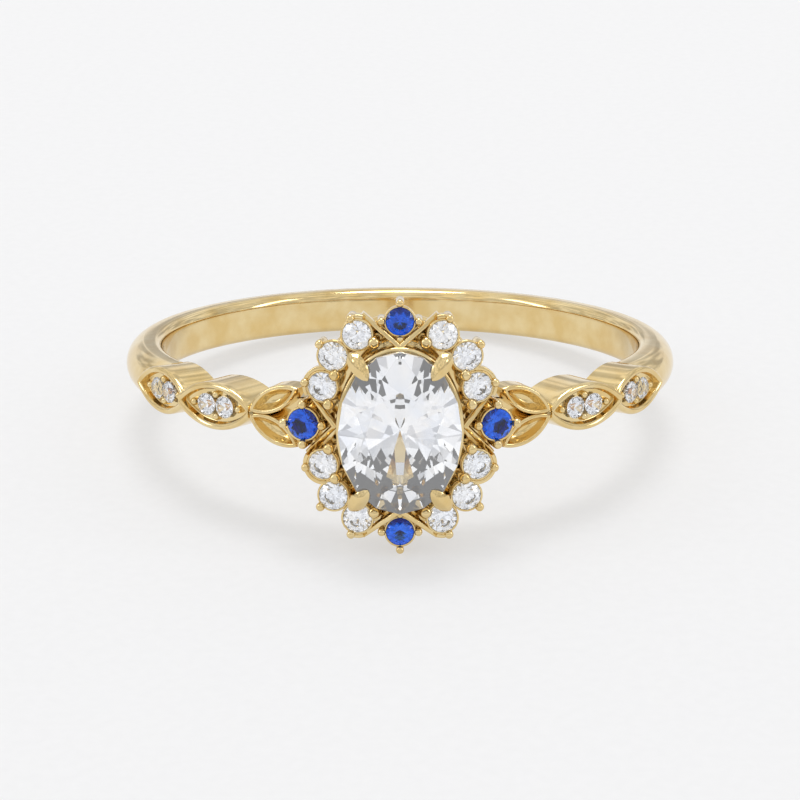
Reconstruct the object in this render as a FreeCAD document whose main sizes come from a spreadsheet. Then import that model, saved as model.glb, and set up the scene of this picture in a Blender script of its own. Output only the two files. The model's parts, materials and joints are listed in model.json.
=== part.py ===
import FreeCAD, Part
import math
import os

import Sketcher
from FreeCAD import Placement, Rotation, Vector

# An engagement ring lying on its side: an oval brilliant in four claws, a halo of twelve
# round brilliants and four round sapphires, and two stone-set marquise collets and a pair
# of hollow leaves on each shoulder.
#
# Every piece is drawn at twelve o'clock on the ring: X runs round the finger, Y along it
# and Z outward from the middle of the bore. It is then swung round the finger axis to its
# station, and the whole ring is laid down.

doc = FreeCAD.newDocument("engagement_ring")
sheet = doc.addObject("Spreadsheet::Sheet", "Sizes")

# Lengths in millimetres, angles in degrees. Every height is measured outward from the wall
# of the finger bore, and every distance round the ring along the tops of the inner collets.
sizes = {
    # Shank
    "bore_radius": 8.46,
    "shank_thickness": 1.30,
    "shank_width": 1.60,
    "comfort_radius": 0.34,
    "horn_gap": 0.35,
    # Shoulders
    "bridge_reach": 5.168,
    "collet_pitch": 3.097,
    "marquise_length": 3.50,
    "marquise_width": 1.60,
    "inner_collet_height": 1.51,
    "outer_collet_height": 1.34,
    "marquise_rim": 0.23,
    "marquise_recess": 0.20,
    "rim_round": 0.07,
    "shoulder_stone": 0.755,
    "shoulder_spacing": 0.80,
    "shoulder_girdle_drop": 0.14,
    "shoulder_bead": 0.11,
    "shoulder_bead_clear": 0.209,
    "azure_radius": 0.20,
    # Leaves
    "leaf_length": 2.05,
    "leaf_width": 0.84,
    "leaf_rim": 0.15,
    "leaf_recess": 0.40,
    "leaf_setback": 0.87,
    "leaf_offset": 0.515,
    "leaf_turn": 27.0,
    "leaf_height": 1.54,
    # Bridge under the head
    "bridge_thickness": 0.84,
    "bridge_length": 11.7,
    "bridge_width": 1.50,
    "bridge_hole_length": 2.60,
    "bridge_hole_width": 0.80,
    # Centre stone and its basket
    "centre_width": 3.968,
    "centre_length": 5.292,
    "centre_girdle_height": 3.09,
    "seat_rim_spread": 0.074,
    "seat_rim_wall": 0.20,
    "seat_rim_height": 2.64,
    "seat_rim_depth": 0.55,
    "base_rail_width": 3.10,
    "base_rail_length": 3.90,
    "base_rail_wall": 0.22,
    "base_rail_height": 1.29,
    "base_rail_depth": 0.70,
    "claw_station": 51.75,
    "claw_bearing": 52.8,
    "claw_reach_in": 0.31,
    "claw_reach_out": 0.637,
    "claw_tip_rise": 0.20,
    "claw_heel_drop": 0.24,
    "claw_head_width": 0.44,
    "claw_radius": 0.20,
    "claw_notch": 0.06,
    "claw_crown_share": 0.36,
    # Halo
    "halo_stone": 0.94,
    "halo_girdle_height": 2.34,
    "halo_wall": 0.075,
    "halo_lip": 0.03,
    "halo_cup_depth": 0.90,
    "halo_cup_foot": 0.34,
    "halo_hole": 0.24,
    "halo_cup_merge": 0.02,
    "halo_side_clear": 0.533,
    "halo_end_clear": 1.353,
    "halo_lean_near": 19.0,
    "halo_lean_far": 47.5,
    "outer_prong": 0.150,
    "outer_prong_set": 0.10,
    "inner_prong": 0.200,
    "inner_prong_set": 0.13,
    "prong_rise": 0.06,
    "prong_depth": 0.55,
    # Sapphires
    "end_sapphire": 0.90,
    "side_sapphire": 1.02,
    "sapphire_girdle_height": 2.28,
    "end_sapphire_clear": 0.826,
    "side_sapphire_clear": 1.194,
    "end_prong": 0.135,
    "side_prong": 0.165,
    "sapphire_prong_set": 0.145,
    "peg_radius": 0.30,
    "peg_overlap": 0.15,
    # Halo rail and chevron wires
    "halo_rail_wall": 1.00,
    "halo_rail_side": 0.566,
    "halo_rail_end": 0.40,
    "halo_rail_height": 1.51,
    "halo_rail_depth": 0.39,
    "wire_radius": 0.095,
    "end_wire_gap": 0.044,
    "end_wire_reach": 0.975,
    "end_wire_spread": 1.217,
    "end_wire_high": 2.58,
    "end_wire_low": 2.01,
    "side_wire_gap": 0.116,
    "side_wire_reach": 0.894,
    "side_wire_spread": 1.044,
    "side_wire_high": 2.10,
    "side_wire_low": 1.40,
    "wire_leg": 0.50,
}
for row, (word, number) in enumerate(sizes.items(), start=1):
    sheet.set(f"A{row}", word)
    sheet.set(f"B{row}", str(number))
    sheet.setAlias(f"B{row}", word)
doc.recompute()


def size(word):
    return float(sheet.get(word))


def bind(thing, **rules):
    # Ties properties of an object to words of the sheet.
    for name, rule in rules.items():
        thing.setExpression(name.replace("__", "."), rule)


def cell(word):
    return f"Sizes.{word}"


def out_to(word):
    # The rule for the distance from the finger axis to a height above the bore's wall.
    return f"(Sizes.bore_radius + Sizes.{word})"


bore = size("bore_radius")


def radius_at(word):
    return bore + size(word)


def swing_of(distance):
    # The angle round the finger that is this distance along the tops of the inner collets.
    return math.degrees(distance / radius_at("inner_collet_height"))


def swing_rule(distance):
    return f"180 / pi * ({distance}) / {out_to('inner_collet_height')}"


half_centre_width = size("centre_width") / 2
half_centre_length = size("centre_length") / 2

# The ring lies on two places: the outer prong under the lower sapphire, and the back of the
# shank's lower edge. Both are round, so the floor is the line that touches both circles.
end_cup_along = half_centre_length + size("end_sapphire_clear")
prong_circle = Vector(
    0.0,
    end_cup_along + size("end_sapphire") / 2 + size("sapphire_prong_set"),
    radius_at("sapphire_girdle_height") + size("prong_rise"),
)
comfort = size("comfort_radius")
flat_half = size("shank_width") / 2 - comfort
outer_rise = size("shank_thickness") - comfort
shank_bend = ((size("shank_width") / 2) ** 2 + outer_rise**2) / (2 * outer_rise)
shank_circle_radius = bore + size("shank_thickness") - shank_bend
span = math.hypot(prong_circle.y, prong_circle.z + shank_circle_radius)
rest_angle = math.degrees(
    math.atan2(prong_circle.y, prong_circle.z + shank_circle_radius)
    + math.asin((size("end_prong") - shank_bend) / span)
)
LAY_DOWN = Placement(Vector(0, 0, 0), Rotation(Vector(1, 0, 0), 90.0 - rest_angle))


def station(swing, along=0.0, lift=0.0, turn=0.0):
    # Swings a piece drawn at twelve o'clock round the finger and lays it down.
    swung = Placement(Vector(0, 0, 0), Rotation(Vector(0, 1, 0), swing))
    moved = Placement(Vector(0, along, lift), Rotation(Vector(0, 0, 1), turn))
    return LAY_DOWN * swung * moved


def set_in(place, x=0.0, y=0.0, z=0.0):
    return place * Placement(Vector(x, y, z), Rotation())


# ---- Building blocks ----


def plane_of(body, role):
    return next(part for part in body.Origin.OriginFeatures if part.Role == role)


def sketch_on(body, name, role, height=None):
    sketch = body.newObject("Sketcher::SketchObject", name)
    sketch.AttachmentSupport = [(plane_of(body, role), "")]
    sketch.MapMode = "FlatFace"
    if height is not None:
        bind(sketch, AttachmentOffset__Base__z=height)
    return sketch


def lens_sizes(length, width, inset):
    # Radius of the two arcs of a marquise outline, and how far each centre lies past the
    # long axis. An inset outline keeps the centres and takes its inset off the radius.
    bend = (size(length) ** 2 + size(width) ** 2) / (4 * size(width))
    past = bend - size(width) / 2
    return bend - (size(inset) if inset else 0.0), past


def lens_body(name, length, width, inset, bottom, height):
    # A marquise prism: two arcs that meet in points at both ends of the X axis.
    body = doc.addObject("PartDesign::Body", name)
    sketch = sketch_on(body, f"{name}_outline", "XY_Plane", bottom)
    radius, past = lens_sizes(length, width, inset)
    reach = math.acos(past / radius)
    for side in (1, -1):
        middle = side * math.pi / 2
        circle = Part.Circle(Vector(0, -side * past, 0), Vector(0, 0, 1), radius)
        sketch.addGeometry(Part.ArcOfCircle(circle, middle - reach, middle + reach))
    bend_rule = f"({cell(length)}^2 + {cell(width)}^2) / (4 * {cell(width)})"
    radius_rule = f"{bend_rule} - {cell(inset)}" if inset else bend_rule
    tie = Sketcher.Constraint
    sketch.addConstraint(
        [
            tie("Coincident", 0, 2, 1, 1),
            tie("Coincident", 1, 2, 0, 1),
            tie("PointOnObject", 0, 3, -2),
            tie("PointOnObject", 1, 3, -2),
        ]
    )
    for arc, label in ((0, "upper"), (1, "lower")):
        sketch.addConstraint(tie("Radius", arc, radius))
        sketch.renameConstraint(sketch.ConstraintCount - 1, f"{label}_bend")
        bind(sketch, **{f"Constraints__{label}_bend": radius_rule})
    past_rule = f"{bend_rule} - {cell(width)} / 2"
    sketch.addConstraint(tie("DistanceY", 0, 3, -1, 1, past))
    sketch.renameConstraint(sketch.ConstraintCount - 1, "upper_past")
    sketch.addConstraint(tie("DistanceY", -1, 1, 1, 3, past))
    sketch.renameConstraint(sketch.ConstraintCount - 1, "lower_past")
    bind(sketch, Constraints__upper_past=past_rule, Constraints__lower_past=past_rule)
    pad = body.newObject("PartDesign::Pad", f"{name}_pad")
    pad.Profile = sketch
    bind(pad, Length=height)
    return body


def cylinder(name, radius, height, place):
    thing = doc.addObject("Part::Cylinder", name)
    bind(thing, Radius=radius, Height=height)
    thing.Placement = place
    return thing


def ball(name, radius, place):
    thing = doc.addObject("Part::Sphere", name)
    bind(thing, Radius=radius)
    thing.Placement = place
    return thing


ROUND_FINGER = Rotation(Vector(0, 0, 1), Vector(1, 0, 0), Vector(0, 1, 0), "ZXY")
FAR = "30"


def finger_cylinder(name, radius, swing=0.0, sweep=None, low=-15.0, height=FAR):
    # A cylinder round the finger axis, or the sector of one that starts at swing and has
    # the angle that sweep rules. It starts at low along the finger.
    lying = Placement(Vector(0, 0, 0), ROUND_FINGER) * Placement(Vector(0, 0, low), Rotation())
    thing = cylinder(name, radius, height, station(swing) * lying)
    if sweep is not None:
        bind(thing, Angle=sweep)
    return thing


def fused(name, things):
    thing = doc.addObject("Part::MultiFuse", name)
    thing.Shapes = things
    return thing


def cut(name, base, tools):
    # Takes the tools out of the base one after the other.
    for number, tool in enumerate(tools, start=1):
        thing = doc.addObject("Part::Cut", name if number == len(tools) else f"{name}_{number}")
        thing.Base = base
        thing.Tool = tool
        base = thing
    return base


def common(name, base, tool):
    thing = doc.addObject("Part::Common", name)
    thing.Base = base
    thing.Tool = tool
    return thing


def point_to(start, finish):
    # A placement at start whose Z axis points to finish.
    return Placement(start, Rotation(Vector(0, 0, 1), finish - start))


def rod(name, start, finish, radius, place):
    # A straight round wire between two points.
    thing = doc.addObject("Part::Cylinder", name)
    bind(thing, Radius=radius)
    thing.Height = (finish - start).Length
    thing.Placement = place * point_to(start, finish)
    return thing


def rounded(name, base, edges, radius):
    thing = doc.addObject("Part::Fillet", name)
    thing.Base = base
    thing.Edges = [(number, radius, radius) for number in edges]
    return thing


def outer_arcs_at(thing, place, height, bend):
    # Numbers of the arcs of this radius that lie at this height above the finger axis.
    doc.recompute()
    back = place.inverse()
    found = []
    for number, edge in enumerate(thing.Shape.Edges, start=1):
        level = back.multVec(edge.CenterOfMass).z
        bent = isinstance(edge.Curve, Part.Circle) and abs(edge.Curve.Radius - bend) < 1e-4
        if bent and abs(level - height) < 1e-4:
            found.append(number)
    return found


pieces = []


def keep(label, thing):
    # Marks a finished piece of the ring and names it.
    thing.Label = label
    pieces.append(thing)
    return thing


# ---- Stones ----

# Proportions of a brilliant cut, as shares of its half width.
TABLE = 0.56
STAR = 0.76
CROWN_SLOPE = math.tan(math.radians(34.5))
PAVILION_SLOPE = math.tan(math.radians(40.8))
GIRDLE = 0.05
LOWER_HALF = 0.24
FOLDS = 8


def brilliant(label, width, length, place):
    # A round brilliant of 73 flat faces, stretched to an oval when length isn't width.
    # The middle of its girdle is at the origin and its table faces +Z.
    step = 2 * math.pi / FOLDS
    half = width / 2
    stretch = length / width

    def corner(share, turn, height):
        return Vector(
            half * share * math.cos(turn * step),
            half * stretch * share * math.sin(turn * step),
            half * height,
        )

    # A kite's side corners lie in the plane through its own top and bottom corners.
    bezel = math.cos(step / 2)
    table_height = GIRDLE + (1 - TABLE) * CROWN_SLOPE
    star_height = GIRDLE + (1 - STAR * bezel) * CROWN_SLOPE
    lower_height = -GIRDLE - (1 - LOWER_HALF * bezel) * PAVILION_SLOPE
    culet = corner(0, 0, -GIRDLE - PAVILION_SLOPE)

    faces = [[corner(TABLE, k, table_height) for k in range(FOLDS)]]
    for k in range(FOLDS):
        table_a, table_b = corner(TABLE, k, table_height), corner(TABLE, k + 1, table_height)
        star, star_before = corner(STAR, k + 0.5, star_height), corner(STAR, k - 0.5, star_height)
        lower = corner(LOWER_HALF, k + 0.5, lower_height)
        lower_before = corner(LOWER_HALF, k - 0.5, lower_height)
        top_a, top_m, top_b = (corner(1, k + part, GIRDLE) for part in (0, 0.5, 1))
        low_a, low_m, low_b = (corner(1, k + part, -GIRDLE) for part in (0, 0.5, 1))
        faces += [
            [table_a, table_b, star],
            [table_a, star_before, top_a, star],
            [star, top_a, top_m],
            [star, top_m, top_b],
            [top_a, low_a, low_m, top_m],
            [top_m, low_m, low_b, top_b],
            [low_a, lower, low_m],
            [low_m, lower, low_b],
            [low_a, lower_before, culet, lower],
        ]
    sides = [Part.Face(Part.makePolygon(points + points[:1])) for points in faces]
    stone = doc.addObject("Part::Feature", label)
    solid = Part.Solid(Part.Shell(sides))
    if solid.Volume < 0:
        solid.reverse()
    stone.Shape = solid
    stone.Placement = place
    return stone


# ---- Bridge under the head ----

bore_hole = finger_cylinder("bore_hole", cell("bore_radius"))
bridge_swing = swing_of(size("bridge_reach"))
bridge_round = finger_cylinder(
    "bridge_round",
    out_to("bridge_thickness"),
    -bridge_swing,
    swing_rule(f"2 * {cell('bridge_reach')}"),
)
bridge_plan = lens_body("bridge_plan", "bridge_length", "bridge_width", None, "0", FAR)
bridge_plan.Placement = station(0)
bridge_window = lens_body(
    "bridge_window", "bridge_hole_length", "bridge_hole_width", None, "0", FAR
)
bridge_window.Placement = station(0)
bridge_bar = common("bridge_bar", bridge_round, bridge_plan)
bridge = keep("bridge", cut("bridge_cut", bridge_bar, [bore_hole, bridge_window]))

# ---- Centre stone ----

centre_place = station(0, lift=radius_at("centre_girdle_height"))
centre_stone = keep(
    "centre_diamond",
    brilliant("centre_stone", size("centre_width"), size("centre_length"), centre_place),
)


def oval_prism(name, half_length, half_width, bottom, top):
    # An oval post with its long axis along the finger. The four sizes are rules.
    outline = doc.addObject("Part::Ellipse", f"{name}_outline")
    bind(outline, MajorRadius=half_length, MinorRadius=half_width)
    outline.Placement = station(0, turn=90)
    post = doc.addObject("Part::Extrusion", name)
    post.Base = outline
    post.DirMode = "Custom"
    post.Dir = LAY_DOWN.Rotation.multVec(Vector(0, 0, 1))
    post.Solid = True
    bind(post, LengthFwd=top, LengthRev=f"-({bottom})")
    return post


def oval_ring(name, half_length, half_width, wall, bottom, top):
    # An upright oval band. Half length and half width are to the middle of its wall.
    outer = oval_prism(
        f"{name}_outer", f"{half_length} + {wall} / 2", f"{half_width} + {wall} / 2", bottom, top
    )
    inner = oval_prism(
        f"{name}_inner", f"{half_length} - {wall} / 2", f"{half_width} - {wall} / 2", bottom, top
    )
    return outer, inner


rim_outer, rim_inner = oval_ring(
    "seat_rim",
    f"{cell('centre_length')} / 2 + {cell('seat_rim_spread')} - {cell('seat_rim_wall')} / 2",
    f"{cell('centre_width')} / 2 + {cell('seat_rim_spread')} - {cell('seat_rim_wall')} / 2",
    cell("seat_rim_wall"),
    f"{out_to('seat_rim_height')} - {cell('seat_rim_depth')}",
    out_to("seat_rim_height"),
)
seat_rim = keep("seat_rim", cut("seat_rim_cut", rim_outer, [rim_inner, centre_stone]))

rail_outer, rail_inner = oval_ring(
    "base_rail",
    f"{cell('base_rail_length')} / 2 - {cell('base_rail_wall')} / 2",
    f"{cell('base_rail_width')} / 2 - {cell('base_rail_wall')} / 2",
    cell("base_rail_wall"),
    f"{out_to('base_rail_height')} - {cell('base_rail_depth')}",
    out_to("base_rail_height"),
)
base_rail = keep("base_rail", cut("base_rail_cut", rail_outer, [rail_inner, bridge]))

# ---- Claws ----


def claw(label, side, end):
    # A round post notched onto the base rail, with a leaf-shaped head over the girdle.
    turn = math.radians(size("claw_station"))
    bearing = math.radians(size("claw_bearing"))
    inward = Vector(-side * math.cos(bearing), -end * math.sin(bearing), 0)
    girdle_point = Vector(
        side * half_centre_width * math.cos(turn),
        end * half_centre_length * math.sin(turn),
        radius_at("centre_girdle_height"),
    )
    heel = girdle_point - inward * size("claw_reach_out") - Vector(0, 0, size("claw_heel_drop"))
    tip = girdle_point + inward * size("claw_reach_in") + Vector(0, 0, size("claw_tip_rise"))
    foot = Vector(
        side * (size("base_rail_width") - size("base_rail_wall")) / 2 * math.cos(turn),
        end * (size("base_rail_length") - size("base_rail_wall")) / 2 * math.sin(turn),
        radius_at("base_rail_height") - size("claw_notch"),
    )
    crown = heel + (tip - heel) * size("claw_crown_share")
    post = rod(f"{label}_post", foot, crown, cell("claw_radius"), station(0))

    head_length = (tip - heel).Length
    head_width = size("claw_head_width")
    bend = (head_length**2 + head_width**2) / (4 * head_width)
    head = doc.addObject("PartDesign::Body", f"{label}_head")
    sketch = sketch_on(head, f"{label}_profile", "XZ_Plane")
    arc = Part.Arc(
        Vector(0, 0, 0), Vector(head_width / 2, head_length / 2, 0), Vector(0, head_length, 0)
    )
    sketch.addGeometry(arc)
    sketch.addGeometry(Part.LineSegment(Vector(0, head_length, 0), Vector(0, 0, 0)))
    tie = Sketcher.Constraint
    sketch.addConstraint(
        [
            tie("Coincident", 0, 1, 1, 2),
            tie("Coincident", 0, 2, 1, 1),
            tie("Coincident", 1, 2, -1, 1),
            tie("PointOnObject", 1, 1, -2),
            tie("DistanceY", 1, 2, 1, 1, head_length),
            tie("Radius", 0, bend),
        ]
    )
    sketch.renameConstraint(4, "head_length")
    sketch.renameConstraint(5, "bend")
    bind(
        sketch,
        Constraints__bend=f"({head_length}^2 + {cell('claw_head_width')}^2)"
        f" / (4 * {cell('claw_head_width')})",
    )
    turned = head.newObject("PartDesign::Revolution", f"{label}_leaf")
    turned.Profile = sketch
    turned.ReferenceAxis = (sketch, ["V_Axis"])
    turned.Angle = 360
    head.Placement = station(0) * point_to(heel, tip)
    whole = fused(f"{label}_whole", [post, head])
    return keep(label, cut(f"{label}_cut", whole, [centre_stone, seat_rim, base_rail]))


sides = {"right": 1, "left": -1}
ends = {"upper": 1, "lower": -1}
claws = {
    (side, end): claw(f"claw_{end}_{side}", sides[side], ends[end])
    for end in ends
    for side in sides
}

# ---- Halo: places of the stones ----

halo_half = size("halo_stone") / 2
cup_top_radius = halo_half + size("halo_wall")
cup_pitch = 2 * cup_top_radius - size("halo_cup_merge")
lean_near = math.radians(size("halo_lean_near"))
lean_far = math.radians(size("halo_lean_far"))


def unrolled(distance, radius):
    # The swing that lies this far round a circle of this radius.
    return math.degrees(distance / radius)


near = (half_centre_width + size("halo_side_clear"), half_centre_length - size("halo_end_clear"))
middle = (
    near[0] - cup_pitch * math.sin(lean_near),
    near[1] + cup_pitch * math.cos(lean_near),
)
far = (
    middle[0] - cup_pitch * math.sin(lean_far),
    middle[1] + cup_pitch * math.cos(lean_far),
)
side_cup_round = half_centre_width + size("side_sapphire_clear")


def polar(distance, bearing, side, end):
    # An offset round the finger and along it, mirrored for its quarter of the ring.
    turn = math.radians(bearing)
    return side * distance * math.cos(turn), end * distance * math.sin(turn)


def prong(name, place, radius, offset):
    # A round post with a ball top, beside a stone whose girdle is at the place.
    base = set_in(place, offset[0], offset[1], -size("prong_depth"))
    post = cylinder(
        f"{name}_post", cell(radius), f"{cell('prong_depth')} + {cell('prong_rise')}", base
    )
    top = ball(f"{name}_ball", cell(radius), set_in(place, offset[0], offset[1], size("prong_rise")))
    return [post, top]


def cup(name, place, stone):
    # A tapered cup below the girdle with a drilled hole. The stone cuts its own seat.
    tall = f"{cell('halo_cup_depth')} + {cell('halo_lip')}"
    low = set_in(place, z=-size("halo_cup_depth"))
    cone = doc.addObject("Part::Cone", f"{name}_cone")
    bind(
        cone,
        Radius1=cell("halo_cup_foot"),
        Radius2=f"{cell(stone)} / 2 + {cell('halo_wall')}",
        Height=tall,
    )
    cone.Placement = low
    hole = cylinder(f"{name}_hole", cell("halo_hole"), tall, low)
    return cut(name, cone, [hole])


# ---- Chevron wires round the sapphires ----


def chevron(label, apex, feet, legs):
    # Two straight wires that meet in a point against the seat rim, each with a rounded
    # foot. A leg goes in towards the finger from each foot that has nothing to stand on.
    parts = [ball(f"{label}_apex", cell("wire_radius"), set_in(station(0), *apex))]
    for number, foot in enumerate(feet, start=1):
        parts.append(rod(f"{label}_arm_{number}", apex, foot, cell("wire_radius"), station(0)))
        parts.append(ball(f"{label}_foot_{number}", cell("wire_radius"), set_in(station(0), *foot)))
        if legs:
            inward = Vector(-foot.x, 0, -foot.z).normalize() * size("wire_leg")
            leg = rod(
                f"{label}_leg_{number}", foot, foot + inward, cell("wire_radius"), station(0)
            )
            parts.append(leg)
    wire = fused(f"{label}_wire", parts)
    return keep(label, cut(f"{label}_cut", wire, [seat_rim]))


wires = {}
for end, sign in ends.items():
    start = half_centre_length + size("end_wire_gap")
    wires[end] = chevron(
        f"chevron_{end}",
        Vector(0, sign * start, radius_at("end_wire_high")),
        [
            Vector(
                side * size("end_wire_spread"),
                sign * (start + size("end_wire_reach")),
                radius_at("end_wire_low"),
            )
            for side in sides.values()
        ],
        legs=False,
    )
for side, sign in sides.items():
    start = half_centre_width + size("side_wire_gap")
    wires[side] = chevron(
        f"chevron_{side}",
        Vector(sign * start, 0, radius_at("side_wire_high")),
        [
            Vector(
                sign * (start + size("side_wire_reach")),
                end * size("side_wire_spread"),
                radius_at("side_wire_low"),
            )
            for end in ends.values()
        ],
        legs=True,
    )

# ---- Halo of brilliants, three to a quarter ----

halo_places = {"near": near, "middle": middle, "far": far}
# Bearing of each prong from its stone, from round the finger towards along it.
halo_prongs = {
    "far_outer": ("far", 68.9, "outer_prong"),
    "middle_outer": ("middle", 42.5, "outer_prong"),
    "near_outer": ("near", 11.3, "outer_prong"),
    "far_inner": ("far", 202.5, "inner_prong"),
    "shared_inner": ("near", 136.7, "inner_prong"),
    "near_inner": ("near", 248.8, "inner_prong"),
}


def halo_quarter(side, end):
    # The seams of its round parts face the centre stone.
    label = f"halo_{end}_{side}"
    turn = 180 if sides[side] > 0 else 0
    turned = -1 if sides[side] > 0 else 1
    places, stones, parts = {}, [], []
    for name, (round_finger, along) in halo_places.items():
        swing = unrolled(sides[side] * round_finger, radius_at("halo_girdle_height"))
        place = station(swing, ends[end] * along, radius_at("halo_girdle_height"), turn)
        places[name] = place
        width = size("halo_stone")
        stone_label = f"halo_diamond_{name}_{end}_{side}"
        stones.append(keep(stone_label, brilliant(f"{stone_label}_cut", width, width, place)))
        parts.append(cup(f"{label}_{name}_cup", place, "halo_stone"))
    for name, (stone, bearing, radius) in halo_prongs.items():
        distance = halo_half + size(f"{radius}_set")
        offset = polar(distance, bearing, turned * sides[side], turned * ends[end])
        parts += prong(f"{label}_{name}", places[stone], radius, offset)
    whole = fused(f"{label}_whole", parts)
    others = [wires[end], wires[side], claws[side, end]]
    return keep(f"{label}_setting", cut(f"{label}_cut", whole, stones + others))


quarters = [halo_quarter(side, end) for end in ends for side in sides]

# ---- Sapphires in their four-prong settings ----


def sapphire_setting(name, swing, along, width, prong_radius, wire, peg):
    place = station(swing, along, radius_at("sapphire_girdle_height"))
    label = f"sapphire_{name}"
    stone = keep(label, brilliant(f"{label}_cut", size(width), size(width), place))
    parts = [cup(f"{label}_cup", place, width)]
    distance = size(width) / 2 + size("sapphire_prong_set")
    for number in range(4):
        offset = polar(distance, 90 * number, 1, 1)
        parts += prong(f"{label}_prong_{number}", place, prong_radius, offset)
    tools = [stone, wire]
    if peg:
        # The peg goes through the halo rail and stands on the bridge.
        low = radius_at("bridge_thickness") - size("peg_overlap")
        parts.append(
            cylinder(
                f"{label}_peg",
                cell("peg_radius"),
                f"{cell('sapphire_girdle_height')} - {cell('halo_cup_depth')}"
                f" - {cell('bridge_thickness')} + 2 * {cell('peg_overlap')}",
                set_in(place, z=low - radius_at("sapphire_girdle_height")),
            )
        )
        tools.append(bridge)
    whole = fused(f"{label}_whole", parts)
    return keep(f"{label}_setting", cut(f"{label}_trim", whole, tools))


settings = []
for end, sign in ends.items():
    settings.append(
        sapphire_setting(
            end, 0, sign * end_cup_along, "end_sapphire", "end_prong", wires[end], peg=False
        )
    )
for side, sign in sides.items():
    swing = sign * unrolled(side_cup_round, radius_at("sapphire_girdle_height"))
    settings.append(
        sapphire_setting(side, swing, 0, "side_sapphire", "side_prong", wires[side], peg=True)
    )

# ---- Gallery under the halo: a curved oval dish that the cups stand in ----

halo_outer, halo_inner = oval_ring(
    "halo_rail",
    f"{cell('centre_length')} / 2 + {cell('halo_rail_end')}",
    f"{cell('centre_width')} / 2 + {cell('halo_rail_side')}",
    cell("halo_rail_wall"),
    cell("bore_radius"),
    FAR,
)
halo_band = cut("halo_band", halo_outer, [halo_inner])
rail_round = finger_cylinder("rail_round", out_to("halo_rail_height"))
rail_hollow = finger_cylinder(
    "rail_hollow", f"{out_to('halo_rail_height')} - {cell('halo_rail_depth')}"
)
curved_band = cut("curved_band", common("capped_band", halo_band, rail_round), [rail_hollow])
halo_rail = keep(
    "halo_rail",
    cut("halo_rail_cut", curved_band, quarters + settings + [wires["left"], wires["right"]]),
)

# ---- Leaves ----


def leaf(side, end):
    # A hollow leaf that stands on the bridge, trimmed where it meets its twin and the
    # first marquise.
    label = f"leaf_{end}_{side}"
    lens = ("leaf_length", "leaf_width")
    turn = -sides[side] * ends[end] * size("leaf_turn")
    swing = bridge_swing - swing_of(size("leaf_setback"))
    place = station(sides[side] * swing, ends[end] * size("leaf_offset"), turn=turn)
    wall = lens_body(f"{label}_wall", *lens, None, cell("bore_radius"), cell("leaf_height"))
    wall.Placement = place
    low = 0.0 if ends[end] > 0 else -float(FAR)
    start = 0.0 if sides[side] > 0 else -bridge_swing
    quarter = finger_cylinder(f"{label}_quarter", FAR, start, swing_rule(cell("bridge_reach")), low)
    hollow = lens_body(
        f"{label}_hollow",
        *lens,
        "leaf_rim",
        f"{out_to('leaf_height')} - {cell('leaf_recess')}",
        f"{cell('leaf_recess')} + 1",
    )
    hollow.Placement = place
    under = finger_cylinder(f"{label}_under", out_to("bridge_thickness"))
    trimmed = common(f"{label}_trimmed", wall, quarter)
    return keep(label, cut(f"{label}_cut", trimmed, [under, hollow, curved_band]))


for end in ends:
    for side in sides:
        leaf(side, end)

# ---- Marquise collets ----


def marquise(name, side, swing, height, meets_another):
    # A marquise wall from the bore to a flat top, with a tray for two stones. Its ends stop
    # at the next piece, or run on into the shank's fork.
    label = f"{name}_marquise_{side}"
    top = radius_at(height)
    sign = sides[side]
    lens = ("marquise_length", "marquise_width")
    place = station(sign * swing, turn=0 if sign > 0 else 180)
    wall = lens_body(f"{label}_wall", *lens, None, "0", out_to(height))
    wall.Placement = place
    sweep = 1.0 if meets_another else 1.5
    low = swing - collet_swing / 2
    sector = finger_cylinder(
        f"{label}_sector",
        FAR,
        low if sign > 0 else -low - sweep * collet_swing,
        swing_rule(f"{sweep} * {cell('collet_pitch')}"),
    )
    tray = lens_body(
        f"{label}_tray",
        *lens,
        "marquise_rim",
        f"{out_to(height)} - {cell('marquise_recess')}",
        f"{cell('marquise_recess')} + 1",
    )
    tray.Placement = place
    trimmed = common(f"{label}_trimmed", wall, sector)
    open_wall = cut(f"{label}_open", trimmed, [bore_hole, tray])
    bend, past = lens_sizes(*lens, None)
    rim_edges = outer_arcs_at(open_wall, place, top, bend)
    soft = rounded(f"{label}_soft", open_wall, rim_edges, size("rim_round"))

    floor = top - size("marquise_recess")
    spacing = size("shoulder_spacing")
    bead_step = spacing / 2 + size("shoulder_stone") / 2 + size("shoulder_bead_clear")
    bead_side = size("shoulder_stone") / 2
    spots = [(bead_step, 0), (-bead_step, 0), (0, bead_side), (0, -bead_side)]
    beads = [
        ball(f"{label}_bead_{number}", cell("shoulder_bead"), set_in(place, x, y, floor))
        for number, (x, y) in enumerate(spots, start=1)
    ]
    tools = []
    for number, shift in enumerate((-spacing / 2, spacing / 2), start=1):
        stone_label = f"shoulder_diamond_{name}_{side}_{number}"
        width = size("shoulder_stone")
        spot = set_in(place, shift, 0, top - size("shoulder_girdle_drop"))
        tools.append(keep(stone_label, brilliant(f"{stone_label}_cut", width, width, spot)))
        drill = cylinder(
            f"{label}_drill_{number}",
            cell("azure_radius"),
            out_to(height),
            set_in(place, shift),
        )
        tools.append(drill)
    beaded = fused(f"{label}_beaded", [soft] + beads)
    return keep(label, cut(f"{label}_cut", beaded, tools))


collet_swing = swing_of(size("collet_pitch"))
inner_swing = bridge_swing + collet_swing / 2
outer_swing = inner_swing + collet_swing
for side in sides:
    marquise("inner", side, inner_swing, "inner_collet_height", meets_another=True)
    marquise("outer", side, outer_swing, "outer_collet_height", meets_another=False)

# ---- Shank ----


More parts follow.
